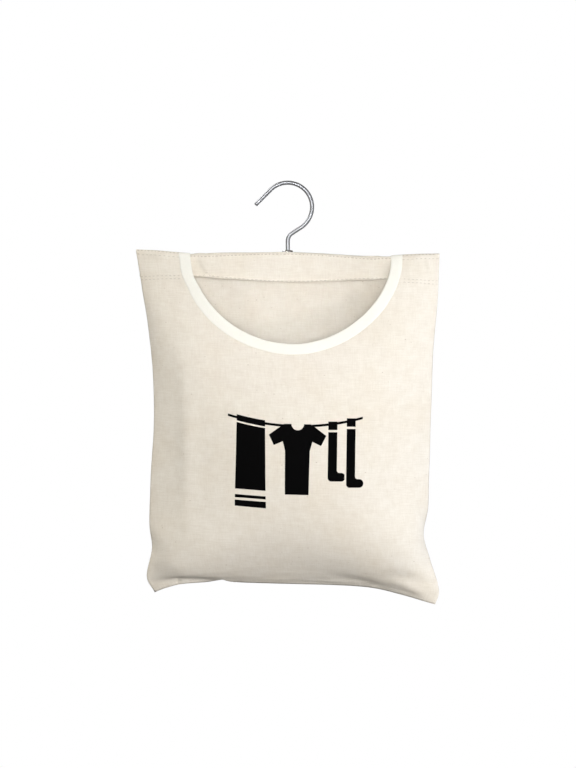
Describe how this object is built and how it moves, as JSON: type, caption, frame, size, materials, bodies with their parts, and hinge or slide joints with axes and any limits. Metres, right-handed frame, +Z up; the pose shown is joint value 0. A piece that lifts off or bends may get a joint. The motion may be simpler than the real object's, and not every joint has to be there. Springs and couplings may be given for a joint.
{
  "type": "peg bag",
  "caption": "Canvas clothes-peg bag with a scooped, tape-bound front opening, hung from a wooden bar with a swivelling steel wire hook.",
  "frame": {"origin": "hook seat: the inside of the hook's bight, where it rests on a line or rail, straight above the stem", "axes": "+X to the right as seen from the front, +Y from the scooped front to the back, +Z up"},
  "size_m": [0.304, 0.105, 0.4187],
  "materials": {
    "hook_steel": "bright zinc-plated wire",
    "washer_steel": "plain plated",
    "bar_wood": "planed, unvarnished",
    "eyelet_metal": "nickel-plated, pressed",
    "canvas": "unbleached plain-weave cotton canvas with flecks",
    "binding_tape": "ivory cotton bias tape",
    "sewing_thread": "cotton sewing thread",
    "print_ink": "black screen-print ink on canvas"
  },
  "bodies": {
    "hook": {"hook": "hook_steel"},
    "bag": {"hook_washer": "washer_steel", "hanger_bar": "bar_wood", "eyelet": "eyelet_metal", "eyelet_washer": "eyelet_metal", "front_panel": "canvas", "back_panel": "canvas", "neck_binding": "binding_tape"}
  },
  "joints": [
    {"name": "hook_swivel", "type": "hinge", "parent": "hook", "child": "bag", "pos_m": [0, 0, -0.0731], "axis": [0, 0, 1], "continuous": true}
  ]
}
